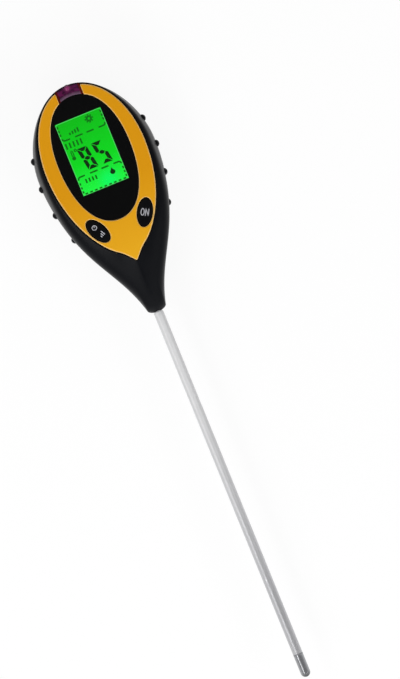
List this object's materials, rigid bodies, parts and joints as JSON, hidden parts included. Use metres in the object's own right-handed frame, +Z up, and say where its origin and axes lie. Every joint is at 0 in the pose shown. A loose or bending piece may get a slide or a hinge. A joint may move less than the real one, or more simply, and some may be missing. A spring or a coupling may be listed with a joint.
{
  "type": "soil pH meter",
  "caption": "Hand-held soil meter: egg-shaped black head with a yellow bezel, oval display window, oval rubber keys, crown light sensor, hinged battery door and a long thin metal probe.",
  "frame": {"origin": "middle of the footprint on the table, with the meter lying on its back", "axes": "+X to the right seen from the front, +Y from the probe's tip towards the crown of the head, +Z up out of the face"},
  "size_m": [0.0658, 0.324, 0.0374],
  "materials": {
    "casing_plastic": "satin black, lightly grained",
    "bezel_plastic": "smooth yellow",
    "clear_window": "clear, glossy",
    "mask_print": "black print",
    "display_cell": "green backlit display",
    "sensor_tint": "purple tint",
    "key_rubber": "matt black",
    "pill_carbon": "conductive black",
    "probe_steel": "fine brushed",
    "tip_metal": "polished, darker",
    "insulation": "plain dark",
    "board_green": "green board",
    "chip_black": "moulded black",
    "part_cases": "mixed small cases",
    "contact_metal": "gold-coloured plating",
    "frame_plastic": "black plastic",
    "light_guide": "milky light guide",
    "led_case": "pale lens",
    "strip_rubber": "layered rubber",
    "mat_rubber": "grey silicone",
    "battery_can": "plain dark wrapped can",
    "terminal_metal": "plated",
    "snap_plastic": "black",
    "lead_cover": "dark red and black covers",
    "pad_foam": "soft foam",
    "screw_steel": "plated",
    "collar_brass": "turned",
    "seal_rubber": "soft black",
    "core_metal": "drawn rod",
    "bead_epoxy": "dipped bead",
    "sensor_epoxy": "clear epoxy"
  },
  "bodies": {
    "casing": {"front_shell": "casing_plastic", "rear_shell": "casing_plastic", "bezel": "bezel_plastic", "display_window": "clear_window", "window_mask": "mask_print", "lcd_glass": "display_cell", "lcd_frame": "frame_plastic", "backlight_panel": "light_guide", "backlight_led": "led_case", "zebra_strips": "strip_rubber", "sensor_window": "sensor_tint", "light_sensor": "sensor_epoxy", "power_dome": "mat_rubber", "mode_dome": "mat_rubber", "keypad_mat": "mat_rubber", "main_board": "board_green", "controller_chip": "chip_black", "board_parts": "part_cases", "contact_pads": "contact_metal", "board_screws": "screw_steel", "battery": "battery_can", "battery_terminals": "terminal_metal", "battery_snap": "snap_plastic", "battery_leads": "lead_cover", "case_screws": "screw_steel", "probe_tube": "probe_steel", "probe_tip": "tip_metal", "probe_insulator": "insulation", "probe_core": "core_metal", "probe_collar": "collar_brass", "neck_seal": "seal_rubber", "probe_leads": "lead_cover", "temperature_sensor": "bead_epoxy"},
    "power_key": {"power_button": "key_rubber", "power_contact": "pill_carbon"},
    "mode_key": {"mode_button": "key_rubber", "mode_contact": "pill_carbon"},
    "door": {"battery_door": "casing_plastic", "door_pad": "pad_foam"}
  },
  "joints": [
    {"name": "power_press", "type": "slide", "parent": "casing", "child": "power_key", "axis": [0, 0, -1], "range_m": [0, 0.0009], "stiffness_N_per_m": 1300, "deforming": ["power_dome"]},
    {"name": "mode_press", "type": "slide", "parent": "casing", "child": "mode_key", "axis": [0, 0, -1], "range_m": [0, 0.0009], "stiffness_N_per_m": 1300, "deforming": ["mode_dome"]},
    {"name": "door_hinge", "type": "hinge", "parent": "casing", "child": "door", "pos_m": [0, 0.0839, 0.0014], "axis": [-1, 0, 0], "range_deg": [0, 90]}
  ]
}
